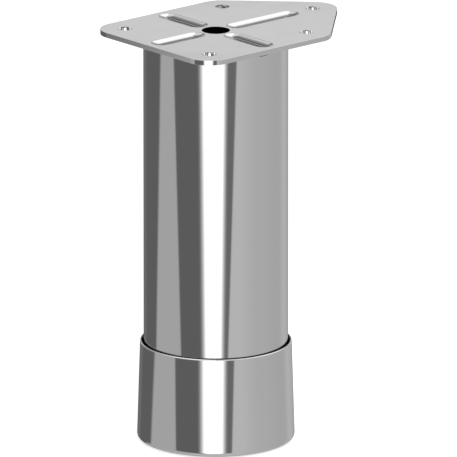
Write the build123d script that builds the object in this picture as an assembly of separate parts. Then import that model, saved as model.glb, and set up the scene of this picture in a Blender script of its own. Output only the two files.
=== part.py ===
from build123d import *
import os
from math import cos, radians, sin, sqrt

# Metal furniture leg with a levelling foot. Millimetres, Z up.
# The origin is on the floor, on the axis of the tube. +X points to the nose of the plate.

# Whole leg
leg_height = 148.3
foot_travel = 15.0
tube_diameter = 50.8
tube_wall = 1.2

# Mounting plate
plate_thickness = 1.8
screw_pitch = 45.0
nose_hole_reach = 45.0
plate_margin = 8.7
screw_hole_diameter = 5.0
key_hole_diameter = 9.9

# Pressed beads of the plate
bead_width = 7.2
bead_depth = 1.0
bead_lip_run = 1.5
bead_lip_drop = 0.4
bead_root_run = 0.7
bead_root_drop = 0.19
bead_floor_width = 1.38
bead_end_steps = 8
bead_start = 6.0
bead_edge_gap = 2.4
nose_bead_gap = 7.4

# Foot cup, which the tube's lower end stands in
cup_clearance = 0.55
cup_wall = 0.7
cup_height = 35.6
cup_flare = 1.1
cup_stand = 0.5
cup_rim_width = 4.85
cup_floor_thickness = 1.2
cup_edge_height = 1.2
cup_edge_chamfer = 0.7
cup_lip_chamfer = 0.4

# Glide pad under the cup
pad_clearance = 0.1
pad_skin = 1.2
pad_edge_chamfer = 0.5
pad_rivet_clearance = 0.6
pad_washer_clearance = 1.0

# Levelling screw, riveted through the floor of the cup
thread_diameter = 10.0
thread_clearance = 0.05
screw_overrun = 6.0
screw_flange_width = 6.0
screw_flange_thickness = 3.0
key_socket_width = 5.0
key_socket_depth = 6.0
spigot_diameter = 8.0
swivel_clearance = 0.05
rivet_head_width = 1.2
rivet_head_thickness = 0.8

# Washer under the rivet head
washer_width = 3.0
washer_thickness = 0.8

# Captive nut
nut_width = 17.0
nut_height = 8.0
nut_recess = 0.5

# Plug in the lower end of the tube
screw_stop_gap = 0.3
plug_flange_thickness = 2.0
plug_depth = 25.0
plug_fit = 0.05
plug_skirt_wall = 2.0
plug_floor_thickness = 4.0
plug_boss_wall = 3.7
plug_ceiling = 9.5
plug_bore_clearance = 0.5
plug_web_count = 6
plug_web_thickness = 1.8
plug_lead_chamfer = 1.0

# Radii, from the tube outwards and from the thread outwards
tube_radius = tube_diameter / 2
tube_inner_radius = tube_radius - tube_wall
cup_top_radius = tube_radius + cup_clearance + cup_wall
cup_bottom_radius = cup_top_radius + cup_flare
recess_radius = cup_bottom_radius - cup_rim_width
pad_radius = recess_radius - pad_clearance
thread_radius = thread_diameter / 2
spigot_radius = spigot_diameter / 2
washer_radius = spigot_radius + washer_width

# Levels above the floor, with the foot screwed fully in
rivet_under = pad_skin + pad_rivet_clearance
washer_under = rivet_under + rivet_head_thickness
washer_top = washer_under + washer_thickness
cup_floor_under = washer_top + swivel_clearance
cup_floor_top = cup_floor_under + cup_floor_thickness
cup_top = cup_stand + cup_height
flange_under = cup_floor_top + swivel_clearance
flange_top = flange_under + screw_flange_thickness
plug_under = flange_top + screw_stop_gap
tube_bottom = plug_under + plug_flange_thickness
nut_under = plug_under + nut_recess
nut_top = nut_under + nut_height
screw_top = nut_top + foot_travel + screw_overrun
plate_top = leg_height
plate_under = plate_top - plate_thickness
tube_top = plate_under - bead_depth


def disc(radius, bottom, top):
    """Upright cylinder between two levels."""
    return extrude(Pos(0, 0, bottom) * Circle(radius), top - bottom)


def hexagon(width, bottom, top):
    """Upright hexagonal bar, measured across its flats."""
    return extrude(Pos(0, 0, bottom) * RegularPolygon(width / sqrt(3), 6), top - bottom)


def bead_slice(end, half_width, level):
    """A bead's outline at one level: a slot along +X whose round ends are drawn in short steps."""
    first = bead_start + bead_width / 2
    last = end - bead_width / 2
    turns = [radians(180 * step / bead_end_steps - 90) for step in range(bead_end_steps + 1)]
    outer_end = [(last + half_width * cos(turn), half_width * sin(turn)) for turn in turns]
    inner_end = [(first - half_width * cos(turn), -half_width * sin(turn)) for turn in turns]
    return Pos(0, 0, level) * make_face(Polyline(*outer_end, *inner_end, close=True))


def bead(end):
    """A shallow bead along +X, sunk from Z 0 over an easy lip, a flank and an easy root."""
    floor_half = bead_floor_width / 2
    slices = [
        (bead_width / 2, plate_thickness / 2),
        (bead_width / 2, 0),
        (bead_width / 2 - bead_lip_run, -bead_lip_drop),
        (floor_half + bead_root_run, bead_root_drop - bead_depth),
        (floor_half, -bead_depth),
    ]
    return loft([bead_slice(end, half_width, level) for half_width, level in slices], ruled=True)


def mounting_plate():
    """Pressed plate: one sheet, beaded in a cross, with its screw holes and the key hole."""
    half = screw_pitch / 2
    screw_places = [(-half, -half), (half, -half), (nose_hole_reach, 0), (half, half), (-half, half)]
    outline = offset(make_face(Polyline(*screw_places, close=True)), plate_margin)
    plate = extrude(Pos(0, 0, plate_under) * outline, plate_thickness)
    side_bead_end = half + plate_margin - bead_edge_gap
    bead_ends = [nose_hole_reach - nose_bead_gap, side_bead_end, side_bead_end, side_bead_end]
    beads = [Rot(0, 0, 90 * turn) * bead(end) for turn, end in enumerate(bead_ends)]
    for each in beads:
        plate += Pos(0, 0, plate_under) * each
    for each in beads:
        plate -= Pos(0, 0, plate_top) * each
    for x, y in screw_places:
        plate -= Pos(x, y, 0) * disc(screw_hole_diameter / 2, tube_top, plate_top)
    return plate - disc(key_hole_diameter / 2, tube_top, plate_top)


def leg_tube():
    """Straight round tube, welded to the crowns of the four ribs under the plate."""
    return disc(tube_radius, tube_bottom, tube_top) - disc(tube_inner_radius, tube_bottom, tube_top)


def tube_plug():
    """Moulded plug: flange, skirt, boss and webs, with a pocket for the nut that opens downwards."""
    skirt_radius = tube_inner_radius - plug_fit
    plug_top = tube_bottom + plug_depth
    floor_top = plug_under + plug_floor_thickness
    boss_top = nut_top + plug_ceiling
    skirt = disc(skirt_radius, tube_bottom, plug_top)
    skirt = chamfer(skirt.edges().group_by(Axis.Z)[-1], plug_lead_chamfer)
    skirt -= disc(skirt_radius - plug_skirt_wall, tube_bottom, plug_top)
    plug = disc(tube_radius, plug_under, tube_bottom) + skirt
    plug += disc(skirt_radius, plug_under, floor_top)
    plug += disc(nut_width / sqrt(3) + plug_boss_wall, plug_under, boss_top)
    web_reach = skirt_radius - plug_skirt_wall / 2
    web = Box(web_reach, plug_web_thickness, boss_top - floor_top, align=(Align.MIN, Align.CENTER, Align.MIN))
    for step in range(plug_web_count):
        plug += Pos(0, 0, floor_top) * Rot(0, 0, step * 360 / plug_web_count) * web
    plug -= hexagon(nut_width, plug_under, nut_top)
    return plug - disc(thread_radius + plug_bore_clearance, plug_under, boss_top)


def captive_nut():
    """Hexagon nut, held in the plug's pocket."""
    return hexagon(nut_width, nut_under, nut_top) - disc(thread_radius, nut_under, nut_top)


def levelling_screw():
    """Threaded stem with a key socket on top, a flange, and a spigot riveted over under the cup."""
    stem = disc(thread_radius - thread_clearance, flange_under, screw_top)
    flange = disc(thread_radius + screw_flange_width, flange_under, flange_top)
    spigot = disc(spigot_radius, rivet_under, flange_top)
    rivet = disc(spigot_radius + rivet_head_width, rivet_under, washer_under)
    return stem + flange + spigot + rivet - hexagon(key_socket_width, screw_top - key_socket_depth, screw_top)


def retaining_washer():
    """Flat washer that the rivet head holds under the floor of the cup."""
    return disc(washer_radius, washer_under, washer_top) - disc(spigot_radius, washer_under, washer_top)


def foot_cup():
    """Drawn cup, wider at its foot, with a floor raised over the glide pad and eased outer edges."""
    rim_top = cup_stand + cup_floor_thickness
    wall_lean = cup_flare / cup_height
    wall_foot = cup_bottom_radius - cup_floor_thickness * wall_lean - cup_wall
    step_radius = recess_radius + cup_floor_thickness
    hole_radius = spigot_radius + swivel_clearance
    outline = Polyline(
        (cup_bottom_radius - cup_edge_chamfer, cup_stand),
        (cup_bottom_radius - cup_edge_height * wall_lean, cup_stand + cup_edge_height),
        (cup_top_radius + cup_lip_chamfer * wall_lean, cup_top - cup_lip_chamfer),
        (cup_top_radius - cup_lip_chamfer, cup_top),
        (cup_top_radius - cup_wall, cup_top),
        (wall_foot, rim_top),
        (step_radius, rim_top),
        (step_radius, cup_floor_top),
        (hole_radius, cup_floor_top),
        (hole_radius, cup_floor_under),
        (recess_radius, cup_floor_under),
        (recess_radius, cup_stand),
        close=True,
    )
    return revolve(Plane.XZ * make_face(outline), Axis.Z)


def glide_pad():
    """Pad bonded into the floor of the cup, hollowed over the rivet head."""
    pad = disc(pad_radius, 0, cup_floor_under)
    pad = chamfer(pad.edges().group_by(Axis.Z)[0], pad_edge_chamfer)
    return pad - disc(washer_radius + pad_washer_clearance, pad_skin, cup_floor_under)


pieces = [
    mounting_plate,
    leg_tube,
    tube_plug,
    captive_nut,
    levelling_screw,
    retaining_washer,
    foot_cup,
    glide_pad,
]

os.makedirs("parts", exist_ok=True)
for piece in pieces:
    export_step(piece(), f"parts/{piece.__name__}.step")
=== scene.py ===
import math

import bpy
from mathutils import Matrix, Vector
from mathutils.geometry import tessellate_polygon


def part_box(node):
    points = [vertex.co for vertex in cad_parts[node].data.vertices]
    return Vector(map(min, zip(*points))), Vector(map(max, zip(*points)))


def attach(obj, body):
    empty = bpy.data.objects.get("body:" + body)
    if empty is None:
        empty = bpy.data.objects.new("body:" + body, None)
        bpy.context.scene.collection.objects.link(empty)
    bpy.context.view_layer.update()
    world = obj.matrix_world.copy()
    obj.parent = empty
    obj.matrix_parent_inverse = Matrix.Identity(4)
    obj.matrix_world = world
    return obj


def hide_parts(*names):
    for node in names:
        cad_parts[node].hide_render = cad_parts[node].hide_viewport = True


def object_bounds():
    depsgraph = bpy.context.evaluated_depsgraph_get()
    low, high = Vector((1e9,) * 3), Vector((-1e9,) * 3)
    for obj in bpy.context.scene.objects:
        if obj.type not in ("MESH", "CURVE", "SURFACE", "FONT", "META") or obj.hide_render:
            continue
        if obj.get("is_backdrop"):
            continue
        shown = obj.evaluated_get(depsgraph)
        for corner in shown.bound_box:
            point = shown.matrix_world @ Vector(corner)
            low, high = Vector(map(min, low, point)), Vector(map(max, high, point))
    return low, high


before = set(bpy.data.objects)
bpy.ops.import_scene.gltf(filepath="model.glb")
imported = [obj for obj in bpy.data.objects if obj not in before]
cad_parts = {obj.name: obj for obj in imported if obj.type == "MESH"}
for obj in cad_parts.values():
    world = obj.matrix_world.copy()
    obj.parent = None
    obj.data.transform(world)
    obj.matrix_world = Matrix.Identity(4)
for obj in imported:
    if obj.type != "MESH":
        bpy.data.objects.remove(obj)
cad_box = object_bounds()

MM = 0.001

# Camera: the photograph's viewing angle, nearly parallel, and the width of its frame at the leg
VIEW_TURN = math.radians(-41.0)
VIEW_RISE_DEGREES = 15.8
VIEW_RISE = math.radians(VIEW_RISE_DEGREES)
LENS = 1500.0
SENSOR = 36.0
FRAME_WIDTH = 160.35 * MM
AIM_RIGHT_OF_AXIS = 4.45 * MM
AIM_BELOW_TOP = 72.1 * MM
CLIP_START = 1.0
CLIP_END = 100.0

# Finishes: colour, grain, roughness and the depth of the bump in metres
CHROME_TINT = 0.90
CHROME_ROUGHNESS = (0.02, 0.07)
CHROME_BUMP = 2e-8
TUBE_GRAIN = 400
PLATE_GRAIN = 120
# Dark bare steel: real inside the tube, and painted shade under the welds and in the gap between cup and tube
BARE_STEEL_AND_SHADE = (0.10, 0.10, 0.105)
BARE_ROUGHNESS = (0.45, 0.60)
ZINC = (0.62, 0.64, 0.66)
ZINC_ROUGHNESS = (0.22, 0.35)
METAL_GRAIN = 900
METAL_BUMP = 1e-6
PLUG_COLOUR = (0.02, 0.02, 0.02)
PLUG_ROUGHNESS = (0.45, 0.60)
PAD_COLOUR = (0.03, 0.03, 0.03)
PAD_ROUGHNESS = (0.55, 0.70)
PLASTIC_GRAIN = 2500
PLASTIC_BUMP = 8e-6
UPRIGHT_LINES = (1, 1, 0.02)
EVEN_GRAIN = (1, 1, 1)
NOISE_DETAIL = 4

# Mounting plate: sizes as in the CAD source. The round lips and edges and the beads' shallower upper side
# are this script's own.
SCREW_PITCH = 45.0 * MM
NOSE_HOLE_REACH = 45.0 * MM
PLATE_MARGIN = 8.7 * MM
PLATE_THICKNESS = 1.8 * MM
SCREW_HOLE_RADIUS = 2.5 * MM
KEY_HOLE_RADIUS = 4.95 * MM
BEAD_WIDTH = 7.2 * MM
BEAD_START = 6.0 * MM
BEAD_ENDS = [37.6 * MM, 28.8 * MM, 28.8 * MM, 28.8 * MM]
BEAD_LIP_RADIUS = 0.9 * MM
BEAD_SINK = 0.7 * MM
PLATE_EDGE = 0.07 * MM
HOLE_EDGE = 0.03 * MM

# Weld runs under the plate. Faces that look down more steeply than the limit below get dark bare steel, a
# painted shade under the welds.
WELD_HALF_LENGTH = 3.0 * MM
WELD_REACH = 0.8 * MM
WELD_RISE = 0.8 * MM
WELD_DROP = 0.55 * MM
WELD_SHADE_BELOW = -0.4
WELD_RIPPLE = 0.06
WELD_RIPPLES = 9

# Tube and cup. The cup's visible rim is CUP_LOWER_RIM below the top of its solid.
TUBE_WALL = 1.2 * MM
TUBE_EDGE = 0.25 * MM
CUP_GAP = 0.55 * MM
CUP_WALL = 0.7 * MM
CUP_FLARE = 1.1 * MM
CUP_EDGE = 1.5 * MM
CUP_LIP = 0.36 * MM
CUP_INNER_LIP = 0.32 * MM
CUP_LOWER_RIM = 0.25 * MM
CUP_RIM_WIDTH = 4.85 * MM
CUP_FLOOR_RISE = 2.95 * MM
CUP_FLOOR_THICKNESS = 1.2 * MM
CUP_SMALL_EDGE = 0.6 * MM
CUP_HOLE_RADIUS = 4.05 * MM

# Steps that round forms are drawn in
TURNS = 256
ARC_STEPS = 8
HOLLOW_STEPS = 16
ROUND_STEPS = 48
CORNER_STEPS = 24
HOLE_STEPS = 96
WELD_STEPS = 40
WELD_TURNS = 24

# Light tent: a round wall under a round cap, in metres
TENT_RADIUS = 1.2
TENT_FOOT = -0.9
TENT_SHOULDER = 0.7
TENT_COLUMNS = 720
WALL_ROWS = 200
CAP_ROWS = 60

# Grey levels of the tent are as they show on the chrome, from 0 to 255. Angles are in degrees.
# Each stripe: the angle where it starts high on the wall and low on it, its softness and the level after it.
# STRIPES_HIGH and STRIPES_LOW are those two heights.
FIRST_LEVEL = 60
STRIPES = [
    (-168.0, -168.0, 5.0, 104),
    (-146.0, -146.0, 5.0, 90),
    (-98.0, -108.8, 3.5, 160),
    (-70.0, -57.6, 1.5, 90),
    (-23.5, -19.1, 7.0, 285),
    (15.7, 10.7, 6.0, 100),
    (33.0, 20.1, 1.2, 178),
    (52.0, 52.0, 18.0, 167),
    (95.0, 95.0, 20.0, 162),
    (128.0, 128.0, 8.0, 173),
    (148.0, 148.0, 8.0, 164),
    (168.0, 168.0, 5.0, 60),
]
STRIPES_HIGH = -0.178
STRIPES_LOW = -0.296

# Above the stripes is the sky, which the plate shows. It fades in between two heights.
SKY_FADE = (-0.12, -0.02)

# The flat of the plate mirrors a narrow band of the sky. The band starts and ends softly as the sky rises.
FLAT_LEVEL = 201
FLAT_BAND_START = (13.6, 14.5)
FLAT_BAND_END = (15.9, 16.5)

# Below the band, with a dark dip behind the leg
LOW_SKY = 190
LOW_SKY_DIP = 110
DIP_START = (172, 176)
DIP_END = (184, 188)

# Above the band, where the beads look. The sky is even in front on the right, up to LIT_START, and shaded
# from behind the leg round the left, up to SHADED_END. Elsewhere it is lit.
# Each change: how much is added to the level, and the two angles of rise that it is added between.
OPEN_SKY = 203
LIT_LEVEL = 125
LIT_CHANGES = [(91, 18, 26), (39, 24, 33)]
LIT_START = (75, 100)
SHADED_LEVEL = 92
SHADED_CHANGES = [(20, 20, 28), (98, 26, 40)]
SHADED_END = (255, 290)

# The shade's edge behind the leg bends to the right as it rises and comes back higher up
BEHIND = 180
SHADE_BEFORE = 1.0
SHADE_AFTER = 1.5
SHADE_BEND = 0.11
SHADE_CURVE = 0.00675
SHADE_BEND_END = (36, 42)

# Floor and lights
FLOOR_HALF_WIDTH = 6.0
FLOOR_COLOUR = (0.8, 0.8, 0.8, 1)
FLOOR_GLOW = 0.55
AMBIENT = 0.7
LAMP_SIZE = 1.2
LAMP_POWER = 12
LAMP_PLACE = Vector((-0.4, -1.2, 1.6))

right = Vector((math.cos(VIEW_TURN), math.sin(VIEW_TURN), 0))
back = Vector((
    math.sin(VIEW_TURN) * math.cos(VIEW_RISE),
    -math.cos(VIEW_TURN) * math.cos(VIEW_RISE),
    math.sin(VIEW_RISE),
))
level_back = Vector((back.x, back.y, 0)).normalized()


def linear(grey):
    """Linear brightness of a grey level from 0 to 255."""
    share = grey / 255
    return share / 12.92 if share <= 0.04045 else ((share + 0.055) / 1.055) ** 2.4


def smooth(value, start, end):
    """0 before start, 1 after end, eased between them."""
    share = min(max((value - start) / (end - start), 0), 1)
    return share * share * (3 - 2 * share)


def spoke_at(angle):
    """Unit vector at an angle about Z."""
    return Vector((math.cos(angle), math.sin(angle), 0))


def upwards(height):
    """Upright vector."""
    return Vector((0, 0, height))


def add_object(name, data):
    """Puts a mesh, a lamp or the camera into the scene."""
    thing = bpy.data.objects.new(name, data)
    bpy.context.scene.collection.objects.link(thing)
    return thing


def add_node(tree, kind, values=None):
    """A shader node with some of its inputs set."""
    node = tree.nodes.new(kind)
    for name, value in (values or {}).items():
        node.inputs[name].default_value = value
    return node


def join(tree, *links):
    """Links nodes, each link given as a node, its output, a node and its input."""
    for source, output, target, socket in links:
        tree.links.new(source.outputs[output], target.inputs[socket])


def new_material(name):
    """A node material and its node tree."""
    material = bpy.data.materials.new(name)
    material.use_nodes = True
    return material, material.node_tree


# Camera

def add_camera():
    aim = right * AIM_RIGHT_OF_AXIS + upwards(cad_box[1].z - AIM_BELOW_TOP)
    data = bpy.data.cameras.new("camera")
    data.lens = LENS
    data.sensor_width = SENSOR
    data.clip_start = CLIP_START
    data.clip_end = CLIP_END
    camera = add_object("camera", data)
    camera.location = aim + back * (FRAME_WIDTH * LENS / SENSOR)
    camera.rotation_mode = "QUATERNION"
    camera.rotation_quaternion = (-back).to_track_quat("-Z", "Y")
    bpy.context.scene.camera = camera


# Materials

def surface(name, colour, metallic, stretch, grain, roughness, bump_depth):
    """A plain colour with noise in its roughness and as a slight bump. stretch can draw it out into lines."""
    material, tree = new_material(name)
    shader = tree.nodes["Principled BSDF"]
    shader.inputs["Base Color"].default_value = (*colour, 1)
    shader.inputs["Metallic"].default_value = metallic
    place = add_node(tree, "ShaderNodeTexCoord")
    mapping = add_node(tree, "ShaderNodeMapping", {"Scale": stretch})
    noise = add_node(tree, "ShaderNodeTexNoise", {"Scale": grain, "Detail": NOISE_DETAIL})
    rough = add_node(tree, "ShaderNodeMapRange", {"To Min": roughness[0], "To Max": roughness[1]})
    bump = add_node(tree, "ShaderNodeBump", {"Strength": 1, "Distance": bump_depth})
    join(
        tree,
        (place, "Object", mapping, "Vector"),
        (mapping, "Vector", noise, "Vector"),
        (noise, "Fac", rough, "Value"),
        (noise, "Fac", bump, "Height"),
        (rough, "Result", shader, "Roughness"),
        (bump, "Normal", shader, "Normal"),
    )
    return material


def chrome(name, stretch, grain):
    return surface(name, [CHROME_TINT] * 3, 1, stretch, grain, CHROME_ROUGHNESS, CHROME_BUMP)


def metal(name, colour, roughness):
    return surface(name, colour, 1, EVEN_GRAIN, METAL_GRAIN, roughness, METAL_BUMP)


def plastic(name, colour, roughness):
    return surface(name, colour, 0, EVEN_GRAIN, PLASTIC_GRAIN, roughness, PLASTIC_BUMP)


tube_chrome = chrome("tube_chrome", UPRIGHT_LINES, TUBE_GRAIN)
cup_chrome = chrome("cup_chrome", UPRIGHT_LINES, TUBE_GRAIN)
plate_chrome = chrome("plate_chrome", EVEN_GRAIN, PLATE_GRAIN)
bare_steel_and_shade = metal("bare_steel_and_shade", BARE_STEEL_AND_SHADE, BARE_ROUGHNESS)
zinc_steel = metal("zinc_steel", ZINC, ZINC_ROUGHNESS)
plug_plastic = plastic("plug_plastic", PLUG_COLOUR, PLUG_ROUGHNESS)
pad_plastic = plastic("pad_plastic", PAD_COLOUR, PAD_ROUGHNESS)


# Round pieces, turned about the tube's axis

def outwards(way):
    """The way out of a solid to the right of a step along its outline."""
    return Vector((way.y, -way.x))


def rounded(points, radii):
    """An outline of radius and height with round corners.

    It is a list of its points, each with the slopes before and after it.
    """
    outline = []
    for index, (corner, radius) in enumerate(zip(points, radii)):
        corner = Vector(corner)
        to_last = (Vector(points[index - 1]) - corner).normalized()
        to_next = (Vector(points[(index + 1) % len(points)]) - corner).normalized()
        before = outwards(-to_last)
        after = outwards(to_next)
        if radius == 0:
            outline.append((corner, before, after))
            continue
        half = to_last.angle(to_next) / 2
        centre = corner + (to_last + to_next).normalized() * radius / math.sin(half)
        side = math.copysign(radius, -before.dot(to_next))
        for step in range(ARC_STEPS + 1):
            slope = before.slerp(after, step / ARC_STEPS)
            outline.append((centre + slope * side, slope, slope))
    return outline


def turned(name, outline, materials, pick):
    """A closed solid turned about Z. pick gives a face's material from its outline segment's middle."""
    spokes = [spoke_at(2 * math.pi * turn / TURNS) for turn in range(TURNS)]
    vertices = [spoke * point.x + upwards(point.y) for spoke in spokes for point, _, _ in outline]
    count = len(outline)
    faces = []
    slots = []
    normals = []
    for turn, spoke in enumerate(spokes):
        following = (turn + 1) % TURNS
        for index in range(count):
            after = (index + 1) % count
            faces.append((
                turn * count + index,
                following * count + index,
                following * count + after,
                turn * count + after,
            ))
            slots.append(pick((outline[index][0] + outline[after][0]) / 2))
            low = outline[index][2]
            high = outline[after][1]
            next_spoke = spokes[following]
            for way, slope in ((spoke, low), (next_spoke, low), (next_spoke, high), (spoke, high)):
                normals.append(way * slope.x + upwards(slope.y))
    mesh = bpy.data.meshes.new(name)
    mesh.from_pydata(vertices, [], faces)
    for material in materials:
        mesh.materials.append(material)
    mesh.polygons.foreach_set("material_index", slots)
    mesh.polygons.foreach_set("use_smooth", [True] * len(faces))
    mesh.normals_split_custom_set(normals)
    return add_object(name, mesh)


def add_tube():
    low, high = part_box("leg_tube")
    outer = high.x
    inner = outer - TUBE_WALL
    corners = [(inner, low.z), (outer, low.z), (outer, high.z), (inner, high.z)]
    outline = rounded(corners, [TUBE_EDGE] * len(corners))
    middle = (inner + outer) / 2
    piece = turned("chromed_tube", outline, [tube_chrome, bare_steel_and_shade], lambda p: int(p.x < middle))
    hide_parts("leg_tube")
    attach(piece, "leg")


def add_cup():
    """The cup, chromed outside. Its inside, up to the middle of the rim, is dark bare steel, which paints the
    shade in the gap round the tube.
    """
    low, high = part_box("foot_cup")
    top_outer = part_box("leg_tube")[1].x + CUP_GAP + CUP_WALL
    bottom_outer = top_outer + CUP_FLARE
    rim = high.z - CUP_LOWER_RIM
    inner_floor = low.z + CUP_FLOOR_THICKNESS
    floor_under = low.z + CUP_FLOOR_RISE
    floor_top = floor_under + CUP_FLOOR_THICKNESS
    recess = bottom_outer - CUP_RIM_WIDTH
    step = recess + CUP_FLOOR_THICKNESS
    corners = [
        (bottom_outer, low.z),
        (top_outer, rim),
        (top_outer - CUP_WALL, rim),
        (bottom_outer - CUP_WALL, inner_floor),
        (step, inner_floor),
        (step, floor_top),
        (CUP_HOLE_RADIUS, floor_top),
        (CUP_HOLE_RADIUS, floor_under),
        (recess, floor_under),
        (recess, low.z),
    ]
    small = CUP_SMALL_EDGE
    radii = [CUP_EDGE, CUP_LIP, CUP_INNER_LIP, small, small, small, 0, 0, 0, small / 2]
    inside = low.z + CUP_FLOOR_THICKNESS / 2
    middle = top_outer - CUP_WALL + CUP_INNER_LIP

    # Faces inside the cup get the dark bare steel: painted shade in the gap round the tube
    def pick(point):
        return int(point.x < middle and point.y > inside)

    piece = turned("chromed_cup", rounded(corners, radii), [cup_chrome, bare_steel_and_shade], pick)
    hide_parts("foot_cup")
    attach(piece, "foot")


# Mounting plate: one sheet whose every point has its exact slope, so that the chrome reflects cleanly

class Shell:
    """Mesh points with their normals, and the faces between them."""

    def __init__(self):
        self.points = []
        self.normals = []
        self.faces = []

    def ring(self, points, normals):
        """Adds a closed row of points and gives their numbers."""
        first = len(self.points)
        self.points += points
        self.normals += normals
        return list(range(first, len(self.points)))

    def face(self, corners):
        """Adds a face, wound to agree with its points' normals."""
        a, b, c = (self.points[corners[k]] for k in (0, 1, 2))
        facing = (b - a).cross(c - a)
        if len(corners) == 4:
            facing += (c - a).cross(self.points[corners[3]] - a)
        if facing.dot(sum((self.normals[k] for k in corners), Vector())) < 0:
            corners = corners[::-1]
        self.faces.append(corners)

    def band(self, rings):
        """Joins rings of equal length, each to the next."""
        for here, there in zip(rings, rings[1:]):
            for k in range(len(here)):
                after = (k + 1) % len(here)
                self.face([here[k], here[after], there[after], there[k]])

    def close(self, ring, spine):
        """Closes a bead's last ring on the two ends of its lowest line."""
        half = len(ring) // 2
        for k in range(half - 1):
            self.face([ring[k], ring[k + 1], spine[1]])
            self.face([ring[half + k], ring[half + k + 1], spine[0]])
        self.face([ring[half - 1], ring[half], spine[0], spine[1]])
        self.face([ring[-1], ring[0], spine[1], spine[0]])

    def fill(self, rings):
        """Fills a flat area between an outer ring and the rings inside it."""
        numbers = [number for ring in rings for number in ring]
        for triangle in tessellate_polygon([[self.points[number] for number in ring] for ring in rings]):
            self.face([numbers[k] for k in triangle])

    def mesh(self, name, *materials):
        """A smooth mesh of these faces."""
        mesh = bpy.data.meshes.new(name)
        mesh.from_pydata(self.points, [], self.faces)
        for material in materials:
            mesh.materials.append(material)
        mesh.polygons.foreach_set("use_smooth", [True] * len(mesh.polygons))
        return mesh


def corner_row(corners, radius):
    """A convex outline with round corners about the given centres: its points, and the way out at each."""
    row = []
    for index, corner in enumerate(corners):
        before = Vector(corner) - Vector(corners[index - 1])
        after = Vector(corners[(index + 1) % len(corners)]) - Vector(corner)
        start = math.atan2(-before.x, before.y)
        sweep = (math.atan2(-after.x, after.y) - start) % (2 * math.pi)
        for step in range(CORNER_STEPS + 1):
            out = spoke_at(start + sweep * step / CORNER_STEPS)
            row.append((Vector((*corner, 0)) + out * radius, out))
    return row


def hole_row(place, radius):
    """A round hole's points, and the way into the hole at each."""
    spokes = [spoke_at(2 * math.pi * step / HOLE_STEPS) for step in range(HOLE_STEPS)]
    return [(Vector((*place, 0)) + spoke * radius, -spoke) for spoke in spokes]


def edge_rings(shell, row, radius, top, under):
    """Rings over a sheet's edge, from its upper face round to its lower face."""
    rings = []
    for step in range(2 * ARC_STEPS + 2):
        lower = step > ARC_STEPS
        angle = math.pi / 2 * (step - lower) / ARC_STEPS
        level = under + radius if lower else top - radius
        height = level + radius * math.cos(angle)
        inset = radius * (math.sin(angle) - 1)
        points = [point + out * inset + upwards(height) for point, out in row]
        normals = [out * math.sin(angle) + upwards(math.cos(angle)) for point, out in row]
        rings.append(shell.ring(points, normals))
    shell.band(rings)
    return rings[0], rings[-1]


def bead_section(depth):
    """Run inwards from the bead's outline, drop, and slope: a small round lip, then one round hollow."""
    half_width = BEAD_WIDTH / 2
    steepest = 2 * math.atan(depth / half_width)
    hollow_radius = half_width / math.sin(steepest) - BEAD_LIP_RADIUS
    section = []
    for step in range(ARC_STEPS + 1):
        slope = steepest * step / ARC_STEPS
        section.append((BEAD_LIP_RADIUS * math.sin(slope), BEAD_LIP_RADIUS * (1 - math.cos(slope)), slope))
    for step in range(1, HOLLOW_STEPS):
        slope = steepest * (1 - step / HOLLOW_STEPS)
        drop = depth - hollow_radius * (1 - math.cos(slope))
        section.append((half_width - hollow_radius * math.sin(slope), drop, slope))
    return section


def bead_rings(shell, end, turn, level, depth, side):
    """One bead seen from above (side 1) or the rib that it makes underneath (side -1)."""
    half_width = BEAD_WIDTH / 2
    first = BEAD_START + half_width
    last = end - half_width
    along = spoke_at(turn)
    across = Vector((-along.y, along.x, 0))
    rings = []
    for run, drop, slope in bead_section(depth):
        points = []
        normals = []
        for centre, start in ((last, -math.pi / 2), (first, math.pi / 2)):
            for step in range(ROUND_STEPS + 1):
                angle = start + math.pi * step / ROUND_STEPS
                out = along * math.cos(angle) + across * math.sin(angle)
                points.append(along * centre + out * (half_width - run) + upwards(level - drop))
                normals.append((upwards(math.cos(slope)) - out * math.sin(slope)) * side)
        rings.append(shell.ring(points, normals))
    shell.band(rings)
    ends = [along * centre + upwards(level - depth) for centre in (first, last)]
    shell.close(rings[-1], shell.ring(ends, [upwards(side)] * 2))
    return rings[0]


def add_plate():
    """The pressed plate: its edge, its holes, its beads from above and its ribs from below."""
    low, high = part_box("mounting_plate")
    top = high.z
    under = top - PLATE_THICKNESS
    half = SCREW_PITCH / 2
    places = [(-half, -half), (half, -half), (NOSE_HOLE_REACH, 0), (half, half), (-half, half)]
    holes = [(place, SCREW_HOLE_RADIUS) for place in places] + [((0, 0), KEY_HOLE_RADIUS)]
    shell = Shell()
    edges = [edge_rings(shell, corner_row(places, PLATE_MARGIN), PLATE_EDGE, top, under)]
    for place, radius in holes:
        edges.append(edge_rings(shell, hole_row(place, radius), HOLE_EDGE, top, under))
    above = [upper for upper, lower in edges]
    below = [lower for upper, lower in edges]
    for index, end in enumerate(BEAD_ENDS):
        turn = math.pi / 2 * index
        above.append(bead_rings(shell, end, turn, top, BEAD_SINK, 1))
        below.append(bead_rings(shell, end, turn, under, under - low.z, -1))
    shell.fill(above)
    shell.fill(below)
    mesh = shell.mesh("pressed_plate", plate_chrome)
    mesh.normals_split_custom_set_from_vertices([normal.normalized() for normal in shell.normals])
    piece = add_object("pressed_plate", mesh)
    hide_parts("mounting_plate")
    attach(piece, "leg")


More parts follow.
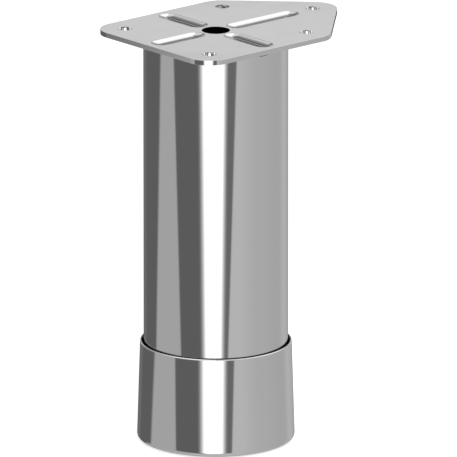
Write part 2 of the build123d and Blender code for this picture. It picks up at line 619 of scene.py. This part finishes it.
def add_welds():
    """Short weld runs where the tube's upper edge meets the four ribs of the plate, with painted shade on
    their undersides.
    """
    tube_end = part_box("leg_tube")[1]
    shell = Shell()
    for quarter in range(4):
        out = spoke_at(math.pi / 2 * quarter)
        along = Vector((-out.y, out.x, 0))
        rings = []
        for step in range(1, WELD_STEPS):
            share = 2 * step / WELD_STEPS - 1
            ripple = 1 + WELD_RIPPLE * math.cos(share * WELD_RIPPLES * math.pi)
            size = math.sqrt(1 - share * share) * ripple
            bend = share * WELD_HALF_LENGTH
            centre = out * math.sqrt(tube_end.x ** 2 - bend ** 2) + along * bend
            centre.z = tube_end.z - WELD_DROP
            points = []
            normals = []
            for turn in range(WELD_TURNS):
                angle = 2 * math.pi * turn / WELD_TURNS
                spoke = out * math.cos(angle) * WELD_REACH + upwards(math.sin(angle) * WELD_RISE)
                points.append(centre + spoke * size)
                normals.append(spoke.normalized() + along * share)
            rings.append(shell.ring(points, normals))
        shell.band(rings)
        shell.face(rings[0])
        shell.face(rings[-1])
    mesh = shell.mesh("weld_runs", plate_chrome, bare_steel_and_shade)
    # Faces that look down get the dark bare steel: painted shade under the welds
    painted_shade = [int(polygon.normal.z < WELD_SHADE_BELOW) for polygon in mesh.polygons]
    mesh.polygons.foreach_set("material_index", painted_shade)
    piece = add_object("weld_runs", mesh)
    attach(piece, "leg")


# CAD nodes that stay, with finished materials

def dress_nodes():
    finishes = {
        "tube_plug": plug_plastic,
        "captive_nut": zinc_steel,
        "levelling_screw": zinc_steel,
        "retaining_washer": zinc_steel,
        "glide_pad": pad_plastic,
    }
    for node, material in finishes.items():
        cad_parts[node].material_slots[0].material = material


# Studio

def stripe_level(beta, height):
    """Grey level that the upright chrome shows, by angle from the camera and height on the tent's wall."""
    level = FIRST_LEVEL
    for high, low, softness, after in STRIPES:
        edge = high + (low - high) * (STRIPES_HIGH - height) / (STRIPES_HIGH - STRIPES_LOW)
        level += (after - level) * smooth(beta, edge - softness, edge + softness)
    return level


def changed(level, changes, rise):
    """A level after its changes, each eased between two angles."""
    return level + sum(change * smooth(rise, start, end) for change, start, end in changes)


def sky_level(beta, rise):
    """Grey level that the plate shows, by angle from the camera and angle above the horizon."""
    turn = beta % 360
    low = LOW_SKY - LOW_SKY_DIP * smooth(turn, *DIP_START) * (1 - smooth(turn, *DIP_END))
    level = low + (FLAT_LEVEL - low) * smooth(rise, *FLAT_BAND_START)
    lit = changed(LIT_LEVEL, LIT_CHANGES, rise)
    shaded = changed(SHADED_LEVEL, SHADED_CHANGES, rise)
    over = max(rise - VIEW_RISE_DEGREES, 0)
    bend = (SHADE_BEND * over + SHADE_CURVE * over ** 2) * (1 - smooth(rise, *SHADE_BEND_END))
    edge = BEHIND - bend
    shade = smooth(turn, edge - SHADE_BEFORE, edge + SHADE_AFTER) * (1 - smooth(turn, *SHADED_END))
    light = smooth(turn, *LIT_START) * (1 - shade)
    above = OPEN_SKY + (lit - OPEN_SKY) * light + (shaded - OPEN_SKY) * shade
    return level + (above - level) * smooth(rise, *FLAT_BAND_END)


def tent_level(point):
    """Grey level of one point of the light tent."""
    beta = math.degrees(math.atan2(point.dot(right), point.dot(level_back)))
    rise = math.degrees(math.atan2(point.z - cad_box[1].z, math.hypot(point.x, point.y)))
    share = smooth(point.z, *SKY_FADE)
    return stripe_level(beta, point.z) * (1 - share) + sky_level(beta, rise) * share


def tent_profile():
    """Radius and height up the tent: its floor's middle, its wall, and its round cap."""
    profile = [(0, TENT_FOOT)]
    for row in range(WALL_ROWS):
        profile.append((TENT_RADIUS, TENT_FOOT + (TENT_SHOULDER - TENT_FOOT) * row / WALL_ROWS))
    for row in range(CAP_ROWS + 1):
        angle = math.pi / 2 * row / CAP_ROWS
        profile.append((TENT_RADIUS * math.cos(angle), TENT_SHOULDER + TENT_RADIUS * math.sin(angle)))
    return profile


def add_tent():
    """Light tent round the leg, seen only in reflections."""
    profile = tent_profile()
    spokes = [spoke_at(2 * math.pi * column / TENT_COLUMNS) for column in range(TENT_COLUMNS)]
    vertices = [spoke * radius + upwards(height) for radius, height in profile for spoke in spokes]
    faces = []
    for row in range(len(profile) - 1):
        here = row * TENT_COLUMNS
        there = here + TENT_COLUMNS
        for column in range(TENT_COLUMNS):
            after = (column + 1) % TENT_COLUMNS
            faces.append((here + column, here + after, there + after, there + column))
    mesh = bpy.data.meshes.new("light_tent")
    mesh.from_pydata(vertices, [], faces)
    glow = mesh.attributes.new("glow", "FLOAT", "POINT")
    glow.data.foreach_set("value", [linear(tent_level(point)) / CHROME_TINT for point in vertices])
    material, tree = new_material("light_tent")
    tree.nodes.clear()
    attribute = add_node(tree, "ShaderNodeAttribute")
    attribute.attribute_name = "glow"
    emission = add_node(tree, "ShaderNodeEmission")
    output = add_node(tree, "ShaderNodeOutputMaterial")
    join(tree, (attribute, "Fac", emission, "Strength"), (emission, "Emission", output, "Surface"))
    material.cycles.emission_sampling = "NONE"
    mesh.materials.append(material)
    tent = add_object("light_tent", mesh)
    tent.visible_camera = False
    tent.visible_diffuse = False
    tent.visible_transmission = False
    tent.visible_shadow = False
    tent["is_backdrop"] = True


def add_floor():
    """Plain white floor. It shows from above only, so that views from below see the leg."""
    side = FLOOR_HALF_WIDTH
    corners = [(-side, -side, 0), (side, -side, 0), (side, side, 0), (-side, side, 0)]
    mesh = bpy.data.meshes.new("floor")
    mesh.from_pydata(corners, [], [(0, 1, 2, 3)])
    material, tree = new_material("floor")
    tree.nodes.clear()
    diffuse = add_node(tree, "ShaderNodeBsdfDiffuse", {"Color": FLOOR_COLOUR})
    glow = add_node(tree, "ShaderNodeEmission", {"Strength": FLOOR_GLOW})
    both = add_node(tree, "ShaderNodeAddShader")
    clear = add_node(tree, "ShaderNodeBsdfTransparent")
    face_side = add_node(tree, "ShaderNodeNewGeometry")
    mix = add_node(tree, "ShaderNodeMixShader")
    output = add_node(tree, "ShaderNodeOutputMaterial")
    join(
        tree,
        (diffuse, "BSDF", both, 0),
        (glow, "Emission", both, 1),
        (face_side, "Backfacing", mix, "Fac"),
        (both, "Shader", mix, 1),
        (clear, "BSDF", mix, 2),
        (mix, "Shader", output, "Surface"),
    )
    mesh.materials.append(material)
    floor = add_object("floor", mesh)
    floor.visible_glossy = False
    floor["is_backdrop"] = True


def add_lights():
    """Soft light from all round and from one lamp. The camera itself sees an even pale backdrop."""
    world = bpy.data.worlds.new("studio")
    world.use_nodes = True
    tree = world.node_tree
    ambient = tree.nodes["Background"]
    ambient.inputs["Color"].default_value = (1, 1, 1, 1)
    ambient.inputs["Strength"].default_value = AMBIENT
    backdrop = add_node(tree, "ShaderNodeBackground", {"Strength": 1})
    ray = add_node(tree, "ShaderNodeLightPath")
    mix = add_node(tree, "ShaderNodeMixShader")
    join(
        tree,
        (ray, "Is Camera Ray", mix, "Fac"),
        (ambient, "Background", mix, 1),
        (backdrop, "Background", mix, 2),
        (mix, "Shader", tree.nodes["World Output"], "Surface"),
    )
    bpy.context.scene.world = world
    lamp = bpy.data.lights.new("softbox", "AREA")
    lamp.shape = "DISK"
    lamp.size = LAMP_SIZE
    lamp.energy = LAMP_POWER
    softbox = add_object("softbox", lamp)
    softbox.location = LAMP_PLACE
    softbox.rotation_mode = "QUATERNION"
    softbox.rotation_quaternion = (-LAMP_PLACE).to_track_quat("-Z", "Y")
    softbox.visible_glossy = False


add_camera()
add_plate()
add_welds()
add_tube()
add_cup()
dress_nodes()
add_tent()
add_floor()
add_lights()
bpy.context.scene.view_settings.view_transform = "Standard"

[[list(corner) for corner in box] for box in (cad_box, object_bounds())]
